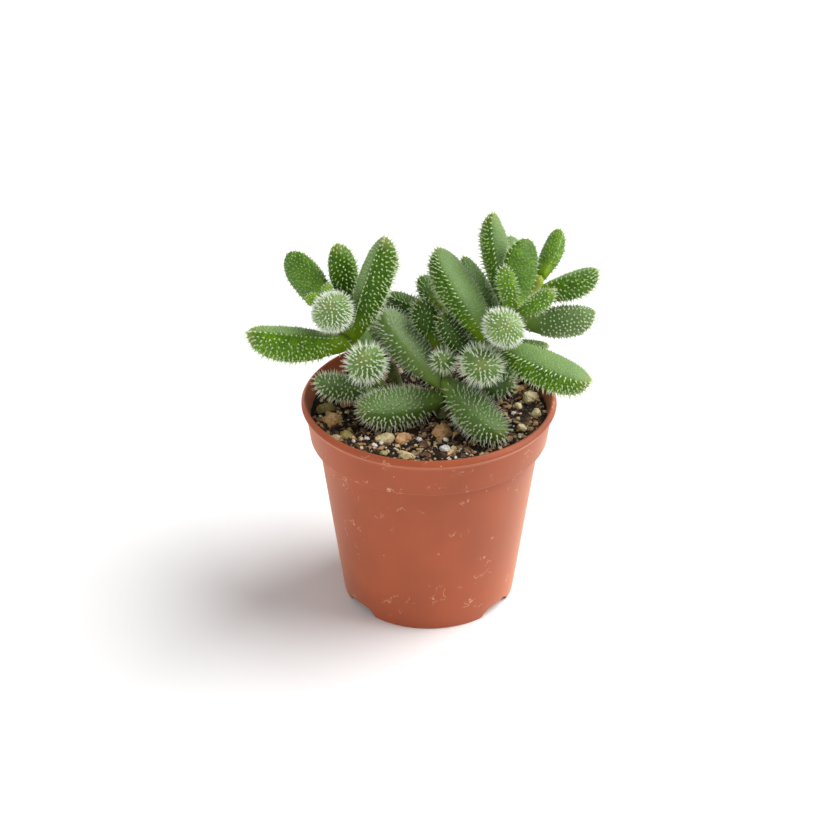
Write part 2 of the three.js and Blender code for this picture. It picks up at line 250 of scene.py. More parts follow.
def makePot(material):
    p = pot
    lip = p["rimRadius"] - p["lipWidth"]
    footInner = p["footRadius"] - p["footWidth"]
    outline = roundCorners([
        (0, p["floorHeight"], 0), (footInner, p["floorHeight"], 0.25), (footInner, 0, 0.2),
        (p["footRadius"], 0, 0.35), (p["footRadius"] + p["footFlare"], p["notchReach"], 0),
        (p["shoulderRadius"], p["collarBottom"], 0.2), (p["collarRadius"], p["collarBottom"] + 0.2, 0.22),
        (p["rimRadius"] - p["lipReach"], p["rimHeight"] - p["lipDrop"], 0.5),
        (p["rimRadius"], p["rimHeight"] - 0.4, 0.12), (p["rimRadius"] - 0.02, p["rimHeight"] - 0.05, 0.15),
        (lip + 0.35, p["height"], 0.3), (lip, p["height"] - 0.15, 0.2),
        (innerRadius(ledge), ledge, 0.3), (innerShoulder, p["collarBottom"] - 0.4, 0.3),
        (innerFoot, floorTop, 0.6), (0, floorTop, 0),
    ])[1:-1]
    sides = p["sides"]
    points, faces = [], []
    slope = (p["shoulderRadius"] - p["footRadius"]) / p["collarBottom"]
    for i in range(sides):
        angle = math.tau * i / sides
        for r, z in outline:
            # a notch lifts the ring's outer side along the wall, and its inner side straight up
            outer = r > innerFoot + 0.35
            rise = notchLift(r, angle) * max(0, 1 - z / p["notchReach" if outer else "floorHeight"])
            r += slope * rise if outer else 0
            z += rise
            points.append((r * math.cos(angle) * mm, r * math.sin(angle) * mm, z * mm))
    rings = len(outline)
    for i in range(sides):
        here, there = i * rings, (i + 1) % sides * rings
        for k in range(rings - 1):
            faces.append((here + k, there + k, there + k + 1, here + k + 1))
    under, top = len(points), len(points) + 1
    points += [(0, 0, p["floorHeight"] * mm), (0, 0, floorTop * mm)]
    for i in range(sides):
        here, there = i * rings, (i + 1) % sides * rings
        faces.append((under, there, here))
        faces.append((top, here + rings - 1, there + rings - 1))
    mesh = bpy.data.meshes.new("pot_shell")
    mesh.from_pydata(points, [], faces)
    piece = addPiece("pot_shell", mesh)

    cutters = bpy.data.meshes.new("drains")
    corners, walls, count = [], [], p["drainSides"]
    for i in range(p["drainCount"]):
        middle = Matrix.Rotation(math.tau * i / p["drainCount"], 3, "Z") @ Vector((p["drainRing"], 0, 0))
        first = len(corners)
        for z in (p["floorHeight"] - 1, floorTop + 1):
            for k in range(count):
                turn = math.tau * k / count
                corner = middle + Vector((math.cos(turn), math.sin(turn), 0)) * p["drainRadius"]
                corners.append((corner + Vector((0, 0, z))) * mm)
        for k in range(count):
            there = (k + 1) % count
            walls.append((first + k, first + there, first + count + there, first + count + k))
        walls.append([first + k for k in reversed(range(count))])
        walls.append([first + count + k for k in range(count)])
    cutters.from_pydata(corners, [], walls)
    cutter = addPiece("drains", cutters)
    cut = piece.modifiers.new("drains", "BOOLEAN")
    cut.operation, cut.object, cut.solver = "DIFFERENCE", cutter, "EXACT"
    keepResult(piece)
    bpy.data.objects.remove(cutter)
    piece.data.materials.clear()
    piece.data.materials.append(material)
    piece.data.shade_smooth()
    piece.data.set_sharp_from_angle(angle=math.radians(40))
    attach(piece, "root")
    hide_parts("pot")


potLook = {
    "colour": "a9522f", "shade": "9c4a2a", "scratch": "dfa98c", "speck": "5f2a1c", "sheen": "f0b89a",
    "mottle": 14, "scratchLoop": 2.6, "scratchWidth": 0.055, "scratchPiece": 3.1, "patch": 7,
    "dotSpacing": 2.4, "grain": 0.35,
}


def makePolypropylene():
    # Polypropylene, injection moulded, terracotta pigment: a dull even skin with a broad soft gloss,
    # scuffed pale where it has rubbed on other pots.
    look = potLook
    material, add, shader = newMaterial("polypropylene_moulded")
    place = add("ShaderNodeTexCoord", out="Object")
    mottle = add("ShaderNodeTexNoise", {"Vector": place, "Scale": 1000 / look["mottle"], "Detail": 3.0})
    base = add("ShaderNodeValToRGB", {"Fac": mottle}, stops=[(0.35, look["shade"]), (0.65, look["colour"])])
    # a scratch is a short length of a noise's contour line, so it curls as a rubbed hair mark does
    loops = add("ShaderNodeTexNoise", {
        "Vector": place, "Scale": 1000 / look["scratchLoop"], "Detail": 2.5, "Roughness": 0.55})
    offset = add("ShaderNodeMath", {0: loops, 1: 0.5}, operation="SUBTRACT")
    distance = add("ShaderNodeMath", {0: offset}, operation="ABSOLUTE")
    line = add("ShaderNodeMapRange", {
        "Value": distance, "From Min": 0.0, "From Max": look["scratchWidth"] / look["scratchLoop"],
        "To Min": 1.0, "To Max": 0.0})
    masks = []
    for size, w, least in (("scratchPiece", 3.0, 0.55), ("patch", 7.4, 0.5)):
        blots = add("ShaderNodeTexNoise", {
            "Vector": place, "Scale": 1000 / look[size], "Detail": 1.0, "W": w}, noise_dimensions="4D")
        masks.append(add("ShaderNodeMapRange", {"Value": blots, "From Min": least, "From Max": 0.6}))
    masked = add("ShaderNodeMath", {0: masks[0], 1: masks[1]}, operation="MULTIPLY")
    scratch = add("ShaderNodeMath", {0: line, 1: masked}, operation="MULTIPLY")
    # dots where grit has pressed in, pale with a few dark ones
    cells = add("ShaderNodeTexVoronoi", {"Vector": place, "Scale": 1000 / look["dotSpacing"]})
    near = add("ShaderNodeMapRange", {
        "Value": cells, "From Min": 0.05, "From Max": 0.08, "To Min": 1.0, "To Max": 0.0})
    chance = add("ShaderNodeSeparateColor", {"Color": cells.node.outputs["Color"]}).node.outputs
    paleDots = add("ShaderNodeMath", {0: chance[0], 1: 0.93}, operation="GREATER_THAN")
    darkDots = add("ShaderNodeMath", {0: chance[1], 1: 0.975}, operation="GREATER_THAN")
    paleMarks = add("ShaderNodeMath", {0: near, 1: paleDots}, operation="MULTIPLY")
    darkMarks = add("ShaderNodeMath", {0: near, 1: darkDots}, operation="MULTIPLY")
    pale = add("ShaderNodeMath", {0: scratch, 1: paleMarks}, operation="MAXIMUM")
    paleShare = add("ShaderNodeMath", {0: pale, 1: 0.75}, operation="MULTIPLY")
    scuffed = add("ShaderNodeMix", {
        0: paleShare, 6: base, 7: linear(look["scratch"])}, out=2, data_type="RGBA")
    marked = add("ShaderNodeMix", {
        0: darkMarks, 6: scuffed, 7: linear(look["speck"])}, out=2, data_type="RGBA")
    grain = add("ShaderNodeTexNoise", {"Vector": place, "Scale": 1000 / look["grain"], "Detail": 2.0})
    height = add("ShaderNodeMath", {0: grain, 1: scratch}, operation="ADD")
    bump = add("ShaderNodeBump", {"Strength": 0.12, "Distance": 0.06 * mm, "Height": height})
    roughness = add("ShaderNodeMapRange", {
        "Value": mottle, "From Min": 0.3, "From Max": 0.7, "To Min": 0.42, "To Max": 0.54})
    plug(shader, {
        "Base Color": marked, "Roughness": roughness, "Normal": bump, "IOR": 1.49, "Specular IOR Level": 0.3,
        "Sheen Weight": 0.8, "Sheen Roughness": 0.4, "Sheen Tint": linear(look["sheen"])})
    return material


# Bristles: each is a glassy hair on a pale raised foot, curved towards the leaf's tip

bristle = {
    "footRadius": 0.22, "hairRadius": 0.1, "tipRadius": 0.02, "bend": 0.1, "lean": 0.1, "jitter": 0.25,
    "shortest": 0.75, "longest": 1.15, "sides": 4, "rings": 5,
}


def makeCoatTree(material):
    # turns points that carry "outward" and "size" into bristles
    tree, add, given, result = newTree("bristleCoat", {
        "Length": 1.0, "Foot": 0.4, "Girth": 1.0, "Along": (1.0, 0.0, 0.0), "Seed": 0})
    hair = add("GeometryNodeCurveQuadraticBezier", {
        "Resolution": bristle["rings"], "Start": (0, 0, -0.1), "Middle": (0, 0, 0.5),
        "End": (bristle["bend"], 0, 1)})
    rise = add("GeometryNodeSplineParameter")
    # the foot takes the first part of the length, and the hair thins from there to its point
    onFoot = add("ShaderNodeMath", {0: rise, 1: given["Foot"]}, operation="DIVIDE", use_clamp=True)
    hair = add("GeometryNodeStoreNamedAttribute", {
        "Geometry": hair, "Name": "rise", "Value": onFoot}, domain="POINT")
    dome = add("ShaderNodeFloatCurve", {"Value": onFoot}, curve=[(0, 1), (0.35, 0.92), (0.7, 0.6), (1, 0)])
    footRadius = add("ShaderNodeMath", {0: dome, 1: bristle["footRadius"]}, operation="MULTIPLY")
    hairRadius = add("ShaderNodeMapRange", {
        "Value": rise, "To Min": bristle["hairRadius"], "To Max": bristle["tipRadius"]})
    widest = add("ShaderNodeMath", {0: footRadius, 1: hairRadius}, operation="MAXIMUM")
    radius = add("ShaderNodeMath", {0: widest, 1: given["Girth"]}, operation="MULTIPLY")
    ring = add("GeometryNodeCurvePrimitiveCircle", {"Resolution": bristle["sides"], "Radius": 1.0})
    solid = add("GeometryNodeCurveToMesh", {
        "Curve": hair, "Profile Curve": ring, "Scale": radius, "Fill Caps": True})
    outward = add("GeometryNodeInputNamedAttribute", {"Name": "outward"}, data_type="FLOAT_VECTOR")
    size = add("GeometryNodeInputNamedAttribute", {"Name": "size"}, data_type="FLOAT")
    leaning = add("ShaderNodeVectorMath", {0: given["Along"], "Scale": bristle["lean"]}, operation="SCALE")
    direction = add("ShaderNodeVectorMath", {0: outward, 1: leaning}, operation="ADD")
    spread = bristle["jitter"]
    shake = add("FunctionNodeRandomValue", {
        0: (-spread,) * 3, 1: (spread,) * 3, "Seed": given["Seed"]}, data_type="FLOAT_VECTOR")
    direction = add("ShaderNodeVectorMath", {0: direction, 1: shake}, operation="ADD")
    upright = add("FunctionNodeAlignRotationToVector", {"Vector": direction}, axis="Z")
    turned = add("FunctionNodeAlignRotationToVector", {
        "Rotation": upright, "Vector": given["Along"]}, axis="X", pivot_axis="Z")
    vary = add("FunctionNodeRandomValue", {
        2: bristle["shortest"], 3: bristle["longest"], "Seed": given["Seed"]}, out=1, data_type="FLOAT")
    reach = add("ShaderNodeMath", {0: vary, 1: given["Length"]}, operation="MULTIPLY")
    height = add("ShaderNodeMath", {0: reach, 1: size}, operation="MULTIPLY")
    slimmer = add("ShaderNodeMath", {0: size, 1: 1.0}, operation="MINIMUM")
    girth = add("ShaderNodeMath", {0: slimmer, 1: 2.2}, operation="POWER")
    scale = add("ShaderNodeCombineXYZ", {"X": girth, "Y": girth, "Z": height})
    placed = add("GeometryNodeInstanceOnPoints", {
        "Points": given["Geometry"], "Instance": solid, "Rotation": turned, "Scale": scale})
    real = add("GeometryNodeRealizeInstances", {"Geometry": placed})
    finished = add("GeometryNodeSetMaterial", {"Geometry": real, "Material": material})
    plug(result, {"Geometry": finished})
    return tree


# Shoots and leaves. The routes and places are the ones that the solids have.

stemRadius = 1.3
shoots = {
    "left": ((-5, 2, 38), (-11, 3, 52), (-22.5, 1, 70.8)),
    "right": ((7, 2.5, 38), (9, 2, 53), (17.8, -1.5, 68.8)),
    "middle": ((2, -0.5, 38), (4.8, -0.5, 50), (2.5, 10.5, 64)),
    "back_left": ((-4, 8, 38), (-8, 12, 50), (-17.5, 12, 64)),
    "back_right": ((9, 9, 38), (15, 12, 54), (23.5, 11, 70.5)),
}
# the bristles' length, the share of it that is foot, their girth and spacing, their size along the keels and
# on the upper face, then how white the leaf's bloom is and how grey and pale its upper face is, partly its own
# grey and partly painted light from above
coatInputs = ("Length", "Foot", "Girth", "Spacing", "Keel", "Upper", "Bloom", "Grey")
coats = {
    "plain": (1.15, 0.45, 1.15, 0.8, 1.05, 0.62, 0, 0.6),
    "blunt": (0.6, 0.8, 1.1, 0.7, 1, 0.9, 0.25, 0.3),
    "long": (1.5, 0.5, 1.3, 0.84, 0, 0.85, 0.18, 0.35),
    "grey": (1.4, 0.5, 1.3, 0.84, 0, 0.85, 0.4, 1),
    "wild": (1.7, 0.45, 1.15, 0.78, 0, 1, 0.22, 0.25),
    "dense": (1.15, 0.6, 0.95, 0.55, 0, 1, 0.32, 0.5),
    "shaded": (1.3, 0.4, 0.9, 0.82, 1.2, 0.85, 0.03, 0.12),
    "smooth": (0.75, 0.6, 0.9, 0.9, 1.05, 0.7, 0, 0.08),
    "young": (0.85, 0.5, 0.85, 0.66, 1.1, 0.8, 0.08, 0.2),
    "bud": (0.525, 0.5, 0.64, 0.385, 0, 0.9, 0, 0),
}
leafShape = {
    "neck": 0.42, "belly": 0.56, "topHeight": 0.44, "underside": 1.16, "plumpTop": 0.8, "plumpUnder": 0.92,
    "crease": 1.35, "swell": 0.28, "swellSize": 2.5, "stemGap": 0.3, "sink": 0.9, "budSink": 0.5,
    "cutShare": 0.16, "keelSpacing": 1.3, "sides": 28, "rings": 38,
}
# name, shoot, share of the shoot, turn, lift, roll, length, width, bow, plump, coat, and how light the green is:
# fresh where the leaf is young, and darker as painted shade where it sits in the plant's shade
leaves = [
    ("left_low_side", "left", 0.36, -170, 19, 5, 13.8, 6.4, 0.3, 0, "long", 0.05),
    ("left_low_front", "left", 0.55, -95, 36, 0, 15, 8, 0, 0.8, "wild", 0.45),
    ("left_low_back", "left", 0.5, 130, 50, 0, 9, 6, 0, 0, "plain", 0.7),
    ("left_big_side", "left", 0.76, -159, 16, 18, 21.3, 9.2, -0.3, 0, "plain", 0.75),
    ("left_big_upright", "left", 0.77, -7, 73, -12, 23, 8.6, 0.5, 0, "plain", 0.45),
    ("left_head_front", "left", 0.9, -95, 39, 0, 13.5, 8.2, 0, 0.8, "dense", 0.5),
    ("left_head_back", "left", 0.93, 125, 21, -25, 17, 7.2, 0, 0, "smooth", 0.65),
    ("left_bud_front", "left", 1, -125, 30, 0, 3.6, 3.2, 0, 0.4, "bud", 1),
    ("left_bud_back", "left", 1, -61, 60, 0, 3.6, 3, 0, 0.4, "bud", 1),
    ("right_low_side", "right", 0.42, -34, 25, 0, 8.6, 4.8, 0, 0, "long", 0.05),
    ("right_low_back", "right", 0.3, 20, 40, 0, 12, 6, 0, 0, "shaded", 0.2),
    ("right_low_front", "right", 0.62, -94, 28, 0, 15, 8.3, 0, 0.8, "wild", 0.5),
    ("right_big_upright", "right", 0.77, 134, 43, 13, 22, 9.6, 0.4, 0, "plain", 0.6),
    ("right_big_side", "right", 0.78, -37, -4, -8, 22, 9.4, 0.4, 0, "plain", 0.65),
    ("right_head_front", "right", 0.9, -90, 33, 0, 13.5, 8.2, 0, 0.8, "dense", 0.85),
    ("right_head_back", "right", 0.99, 70, 50, 5, 15.5, 7.6, 0, 0, "smooth", 0.6),
    ("right_young_upright", "right", 1, 176, 78, 80, 9.5, 4.2, 0, 0, "young", 0.85),
    ("right_young_side", "right", 1, -23, 42, -24, 9.5, 4.8, 0, 0, "young", 0.8),
    ("middle_ground_left", "middle", 0.37, -156, 5, -10, 18.4, 9.6, 0, 0.5, "long", 0.5),
    ("middle_ground_right", "middle", 0.49, -55, -11, -17, 19.5, 9.6, 0, 0.5, "long", 0.5),
    ("middle_wide", "middle", 0.54, 147, 40, -10, 18.4, 9.8, 0.3, 0.3, "grey", 0.9),
    ("middle_small_front", "middle", 0.66, -94, 28, 0, 9.5, 4.4, 0, 0.8, "wild", 0.5),
    ("right_low_inner", "right", 0.56, 168, 56, -10, 13, 5.6, 0, 0, "shaded", 0.1),
    ("middle_high_left", "middle", 0.965, 136, 0, 5, 14, 7.2, 0, 0, "shaded", 0.25),
    ("middle_high_back", "middle", 0.8, 150, 62, 0, 9.5, 6.2, 0, 0, "shaded", 0.2),
    ("middle_tip", "middle", 1, 108, 13, 0, 9.5, 5.6, 0, 0, "shaded", 0.35),
    ("back_left_upright", "back_left", 1, -128, 75, -10, 14.5, 6.8, 0, 0, "plain", 0.55),
    ("back_left_inner", "back_left", 1, 42, 32, 0, 14, 6.4, 0, 0, "plain", 0.5),
    ("back_left_outer", "back_left", 0.75, 80, 0, 0, 14, 6.8, 0, 0, "shaded", 0.2),
    ("back_left_low", "back_left", 0.66, 28, 0, 0, 15.5, 6.4, 0, 0, "shaded", 0.3),
    ("back_right_inner", "back_right", 0.62, 128, 39, 0, 18, 6.6, 0, 0, "shaded", 0.3),
    ("back_right_low", "back_right", 0.4, 150, 40, 0, 13, 6.4, 0, 0, "shaded", 0.2),
    ("back_right_small", "back_right", 0.56, -30, 10, 0, 9, 4.6, 0, 0, "young", 0.4),
    ("back_right_side", "back_right", 0.72, 10, 0, -51, 16, 8.2, 0, 0, "blunt", 0.35),
    ("back_right_upright", "back_right", 0.76, 176, 78, -18, 22.8, 7.2, 0, 0, "plain", 0.6),
    ("back_right_outer", "back_right", 0.91, 23, 9, -65, 14.6, 7, 0, 0, "plain", 0.5),
    ("back_right_back", "back_right", 0.9, 105, 28, 0, 14, 6.6, 0, 0, "plain", 0.5),
    ("back_right_top", "back_right", 1, 71, 21, -68, 13.5, 5.4, 0, 0, "smooth", 0.8),
]


def halfWidth(share):
    neck, belly = leafShape["neck"], leafShape["belly"]
    if share < belly:
        return 1 - (1 - neck) * (1 - share / belly) ** 2
    return math.sqrt(max(0, 1 - ((share - belly) / (1 - belly)) ** 2.3))


def leafPlace(row):
    # the leaf's base, its own axes as a turn, and the way out of the stem seen from the leaf
    shoot, share, turn, lift, roll = row[1:6]
    root, bend, tip = (Vector(p) for p in shoots[shoot])
    foot = root * (1 - share) ** 2 + bend * 2 * share * (1 - share) + tip * share ** 2
    growth = ((bend - root) * (1 - share) + (tip - bend) * share).normalized()
    turn, lift = math.radians(turn), math.radians(lift)
    along = Vector((math.cos(lift) * math.cos(turn), math.cos(lift) * math.sin(turn), math.sin(lift)))
    out = along.copy()
    if share < 1:
        out = (along - growth * along.dot(growth)).normalized()
    base = foot + out * (stemRadius + leafShape["stemGap"])
    up = (growth - along * growth.dot(along)).normalized()
    up.rotate(Matrix.Rotation(math.radians(roll), 3, along))
    side = up.cross(along)
    axes = Matrix((along, side, up)).transposed()
    return base, axes.to_euler(), axes.transposed() @ out


def makeLeafTree(skin, coatTree):
    shape = leafShape
    tree, add, given, result = newTree("pickleLeaf", {
        "Width": 8.0, "Reach": 20.0, "Bow": 0.0, "Top": 0.44, "Under": 1.16, "Out": (1.0, 0.0, 0.0),
        "Sink": 0.9, "Length": 1.0, "Foot": 0.5, "Girth": 1.0, "Spacing": 1.0, "Keel": 1.2, "Upper": 0.3,
        "Bloom": 0.0, "Grey": 0.5, "Freshness": 0.5, "Seed": 0,
        "Place": (0.0, 0.0, 0.0), "Turn": (0.0, 0.0, 0.0)})
    body = add("GeometryNodeMeshCylinder", {
        "Vertices": shape["sides"], "Side Segments": shape["rings"], "Radius": 1.0, "Depth": 1.0},
        fill_type="TRIANGLE_FAN")
    x, y, z = add("ShaderNodeSeparateXYZ", {0: add("GeometryNodeInputPosition")}).node.outputs
    # rings crowd towards the tip, so that it closes round
    ring = add("ShaderNodeMath", {0: z, 1: 0.5}, operation="ADD")
    quarter = add("ShaderNodeMath", {0: ring, 1: math.pi / 2}, operation="MULTIPLY")
    share = add("ShaderNodeMath", {0: quarter}, operation="SINE")
    stops = [math.sin(k / 19 * math.pi / 2) for k in range(20)]
    outline = add("ShaderNodeFloatCurve", {"Value": share}, curve=[(s, halfWidth(s)) for s in stops])
    halfSize = add("ShaderNodeMath", {0: given["Width"], 1: 0.5}, operation="MULTIPLY")
    half = add("ShaderNodeMath", {0: outline, 1: halfSize}, operation="MULTIPLY")
    # a flatter upper face meets a rounder underside at the two keels
    above = add("ShaderNodeMath", {0: y, 1: 0.0}, operation="MAXIMUM")
    creased = add("ShaderNodeMath", {0: above, 1: shape["crease"]}, operation="POWER")
    below = add("ShaderNodeMath", {0: y, 1: 0.0}, operation="MINIMUM")
    belly = add("ShaderNodeMath", {0: below, 1: given["Under"]}, operation="MULTIPLY")
    section = add("ShaderNodeMath", {0: creased, 1: given["Top"], 2: belly}, operation="MULTIPLY_ADD")
    thick = add("ShaderNodeMath", {0: section, 1: half}, operation="MULTIPLY")
    rest = add("ShaderNodeMath", {0: 1.0, 1: share}, operation="SUBTRACT")
    arch = add("ShaderNodeMath", {0: share, 1: rest}, operation="MULTIPLY")
    fourBow = add("ShaderNodeMath", {0: given["Bow"], 1: 4.0}, operation="MULTIPLY")
    height = add("ShaderNodeMath", {0: arch, 1: fourBow, 2: thick}, operation="MULTIPLY_ADD")
    reach = add("ShaderNodeMath", {0: share, 1: given["Reach"]}, operation="MULTIPLY")
    across = add("ShaderNodeMath", {0: x, 1: half}, operation="MULTIPLY")
    # near its base the leaf is cut to the stem's side and runs into it
    fade = add("ShaderNodeMapRange", {
        "Value": share, "From Min": 0.0, "From Max": shape["cutShare"], "To Min": 1.0, "To Max": 0.0})
    outX, outY, outZ = add("ShaderNodeSeparateXYZ", {0: given["Out"]}).node.outputs
    dropY = add("ShaderNodeMath", {0: across, 1: outY}, operation="MULTIPLY")
    drop = add("ShaderNodeMath", {0: thick, 1: outZ, 2: dropY}, operation="MULTIPLY_ADD")
    shear = add("ShaderNodeMath", {0: drop, 1: outX}, operation="DIVIDE")
    faded = add("ShaderNodeMath", {0: shear, 1: fade}, operation="MULTIPLY")
    reached = add("ShaderNodeMath", {0: reach, 1: faded}, operation="SUBTRACT")
    place = add("ShaderNodeCombineXYZ", {"X": reached, "Y": across, "Z": height})
    sinking = add("ShaderNodeMath", {0: fade, 1: given["Sink"]}, operation="MULTIPLY")
    inward = add("ShaderNodeVectorMath", {0: given["Out"], "Scale": sinking}, operation="SCALE")
    place = add("ShaderNodeVectorMath", {0: place, 1: inward}, operation="SUBTRACT")

    for name, value in (("face", y), ("keel", x), ("share", share)):
        body = add("GeometryNodeStoreNamedAttribute", {"Geometry": body, "Name": name, "Value": value})
    body = add("GeometryNodeSetPosition", {"Geometry": body, "Position": place})
    body = add("GeometryNodeMergeByDistance", {"Geometry": body, "Distance": 0.004})
    # the skin swells and dips a little between the bristles
    shift = add("ShaderNodeMath", {0: given["Seed"], 1: 3.7}, operation="MULTIPLY")
    swell = add("ShaderNodeTexNoise", {
        "W": shift, "Scale": 1 / shape["swellSize"], "Detail": 2.0}, noise_dimensions="4D")
    amount = add("ShaderNodeMapRange", {"Value": swell, "To Min": -shape["swell"], "To Max": shape["swell"]})
    normal = add("GeometryNodeInputNormal")
    offset = add("ShaderNodeVectorMath", {0: normal, "Scale": amount}, operation="SCALE")
    body = add("GeometryNodeSetPosition", {"Geometry": body, "Offset": offset})
    body = add("GeometryNodeStoreNamedAttribute", {
        "Geometry": body, "Name": "outward", "Value": normal}, data_type="FLOAT_VECTOR")
    for name in ("Bloom", "Grey", "Freshness"):
        body = add("GeometryNodeStoreNamedAttribute", {
            "Geometry": body, "Name": name.lower(), "Value": given[name]})

    face, keel, along = (
        add("GeometryNodeInputNamedAttribute", {"Name": name}, data_type="FLOAT")
        for name in ("face", "keel", "share"))
    onTop = add("ShaderNodeMath", {0: face, 1: 0.1}, operation="GREATER_THAN")
    under = add("ShaderNodeMath", {0: face, 1: -0.08}, operation="LESS_THAN")
    bare = add("ShaderNodeMapRange", {
        "Value": along, "From Min": 0.05, "From Max": 0.3, "To Min": 0.15, "To Max": 1.0})
    # the shorter the hairs of the upper face are, the closer they stand
    closeness = add("ShaderNodeMapRange", {
        "Value": given["Upper"], "From Min": 0.6, "From Max": 1.0, "To Min": 0.72, "To Max": 1.0})
    topSpacing = add("ShaderNodeMath", {0: given["Spacing"], 1: closeness}, operation="MULTIPLY")
    coatParts = []
    # the upper face has bristles of its own size and spacing
    faces = ((under, given["Spacing"], 1.0, 0), (onTop, topSpacing, given["Upper"], 50))
    for where, spacing, size, step in faces:
        seed = add("ShaderNodeMath", {0: given["Seed"], 1: float(step)}, operation="ADD")
        points = add("GeometryNodeDistributePointsOnFaces", {
            "Mesh": body, "Selection": where, "Distance Min": spacing, "Density Max": 6.0,
            "Density Factor": bare, "Seed": seed}, distribute_method="POISSON")
        coatParts.append(add("GeometryNodeStoreNamedAttribute", {
            "Geometry": points, "Name": "size", "Value": size}))
    # one row stands along each keel
    onKeel = add("ShaderNodeMath", {0: keel}, operation="ABSOLUTE")
    edge = add("ShaderNodeMath", {0: onKeel, 1: 0.999}, operation="GREATER_THAN")
    grown = add("ShaderNodeMath", {0: along, 1: 0.12}, operation="GREATER_THAN")
    wanted = add("ShaderNodeMath", {0: given["Keel"], 1: 0.0}, operation="GREATER_THAN")
    ready = add("ShaderNodeMath", {0: edge, 1: grown}, operation="MULTIPLY")
    chosen = add("ShaderNodeMath", {0: ready, 1: wanted}, operation="MULTIPLY")
    rows = add("GeometryNodeMeshToCurve", {"Mesh": body, "Selection": chosen})
    keelSpacing = add("ShaderNodeMath", {0: given["Spacing"], 1: shape["keelSpacing"]}, operation="MULTIPLY")
    rows = add("GeometryNodeCurveToPoints", {"Curve": rows, "Length": keelSpacing}, mode="LENGTH")
    coatParts.append(add("GeometryNodeStoreNamedAttribute", {
        "Geometry": rows, "Name": "size", "Value": given["Keel"]}))
    joined = add("GeometryNodeJoinGeometry", {0: coatParts})
    coat = add("GeometryNodeGroup", {
        "Geometry": joined, "Length": given["Length"], "Foot": given["Foot"],
        "Girth": given["Girth"], "Seed": given["Seed"]}, node_tree=coatTree)
    body = add("GeometryNodeSetMaterial", {"Geometry": body, "Material": skin})
    whole = add("GeometryNodeJoinGeometry", {0: [coat, body]})
    smooth = add("GeometryNodeSetShadeSmooth", {"Geometry": whole})
    placed = add("GeometryNodeTransform", {
        "Geometry": smooth, "Translation": given["Place"], "Rotation": given["Turn"], "Scale": (mm, mm, mm)})
    plug(result, {"Geometry": placed})
    return tree


def makeLeaves(tree):
    shape = leafShape
    for number, row in enumerate(leaves):
        name, length, width, bow, plump, coat, freshness = row[0], *row[6:]
        base, axes, out = leafPlace(row)
        piece = grow(f"leaf_{name}_grown", tree, {
            "Reach": float(length), "Width": float(width), "Bow": float(bow),
            "Top": shape["topHeight"] + (shape["plumpTop"] - shape["topHeight"]) * plump,
            "Under": shape["underside"] + (shape["plumpUnder"] - shape["underside"]) * plump,
            "Out": tuple(out), "Sink": shape["budSink" if coat == "bud" else "sink"],
            "Place": tuple(base * mm), "Turn": tuple(axes), "Freshness": float(freshness), "Seed": number + 1,
            **dict(zip(coatInputs, map(float, coats[coat])))})
        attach(piece, "root")
        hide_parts("leaf_" + name)


leafLook = {
    "deep": "2d4c08", "mid": "456e0a", "bright": "78a40c", "base": "84a00c", "tip": "8c8a42",
    "bloom": "a0b880", "upper": "8ca870", "mottle": 2.2, "cell": 0.42,
}


def makeLeafSkin():
    # Succulent leaf skin, living: watery green flesh under a waxy skin of tiny bladder cells that sparkle,
    # darkened where the cells meet as painted shade, paler and greyer on the upper face, partly as painted
    # light, yellower at the base, and a darker green on leaves that sit in the plant's shade, as painted shade.
    look = leafLook
    material, add, shader = newMaterial("leaf_skin_waxy")
    place = add("ShaderNodeTexCoord", out="Object")
    share, face, bloom, grey, freshness = (
        add("ShaderNodeAttribute", out="Fac", attribute_name=name)
        for name in ("share", "face", "bloom", "grey", "freshness"))
    mottle = add("ShaderNodeTexNoise", {"Vector": place, "Scale": 1000 / look["mottle"], "Detail": 4.0})
    vary = add("ShaderNodeMapRange", {
        "Value": mottle, "From Min": 0.3, "From Max": 0.7, "To Min": -0.14, "To Max": 0.14})
    cells = add("ShaderNodeTexVoronoi", {"Vector": place, "Scale": 1000 / look["cell"]})
    # where the bladder cells meet, which the bump makes low, the green is darkened: painted shade between the
    # cells
    dark = add("ShaderNodeMapRange", {
        "Value": cells, "From Min": 0.2, "From Max": 0.7, "To Min": 0.1, "To Max": -0.25})
    speckled = add("ShaderNodeMath", {0: vary, 1: dark}, operation="ADD")
    # the per-leaf level lightens the green where the leaf is fresh and darkens it as painted shade where the
    # leaf sits in shade
    amount = add("ShaderNodeMath", {0: freshness, 1: speckled}, operation="ADD")
    green = add("ShaderNodeValToRGB", {
        "Fac": amount}, stops=[(0, look["deep"]), (0.5, look["mid"]), (1, look["bright"])])
    # the upper face is mixed towards a pale grey green: partly the leaf's own grey, partly painted light from
    # above
    upward = add("ShaderNodeMapRange", {
        "Value": face, "From Min": -0.1, "From Max": 0.4, "To Min": 0.0, "To Max": grey})
    young = add("ShaderNodeMapRange", {
        "Value": share, "From Min": 0.02, "From Max": 0.3, "To Min": 0.6, "To Max": 0.0})
    old = add("ShaderNodeMapRange", {
        "Value": share, "From Min": 0.93, "From Max": 1.0, "To Min": 0.0, "To Max": 0.5})
    colour = green
    for amount, over in ((upward, "upper"), (young, "base"), (old, "tip"), (bloom, "bloom")):
        colour = add("ShaderNodeMix", {0: amount, 6: colour, 7: linear(look[over])}, out=2, data_type="RGBA")
    bump = add("ShaderNodeBump", {"Strength": 0.8, "Distance": 0.08 * mm, "Height": cells}, invert=True)
    plug(shader, {
        "Base Color": colour, "Normal": bump, "Roughness": 0.45, "IOR": 1.42, "Specular IOR Level": 0.25,
        "Subsurface Weight": 0.08, "Subsurface Radius": (0.7, 1.0, 0.25), "Subsurface Scale": 0.6 * mm})
    return material


bristleLook = {"foot": "8fb24e", "shaft": "d2e1b2", "white": "eff3e6"}


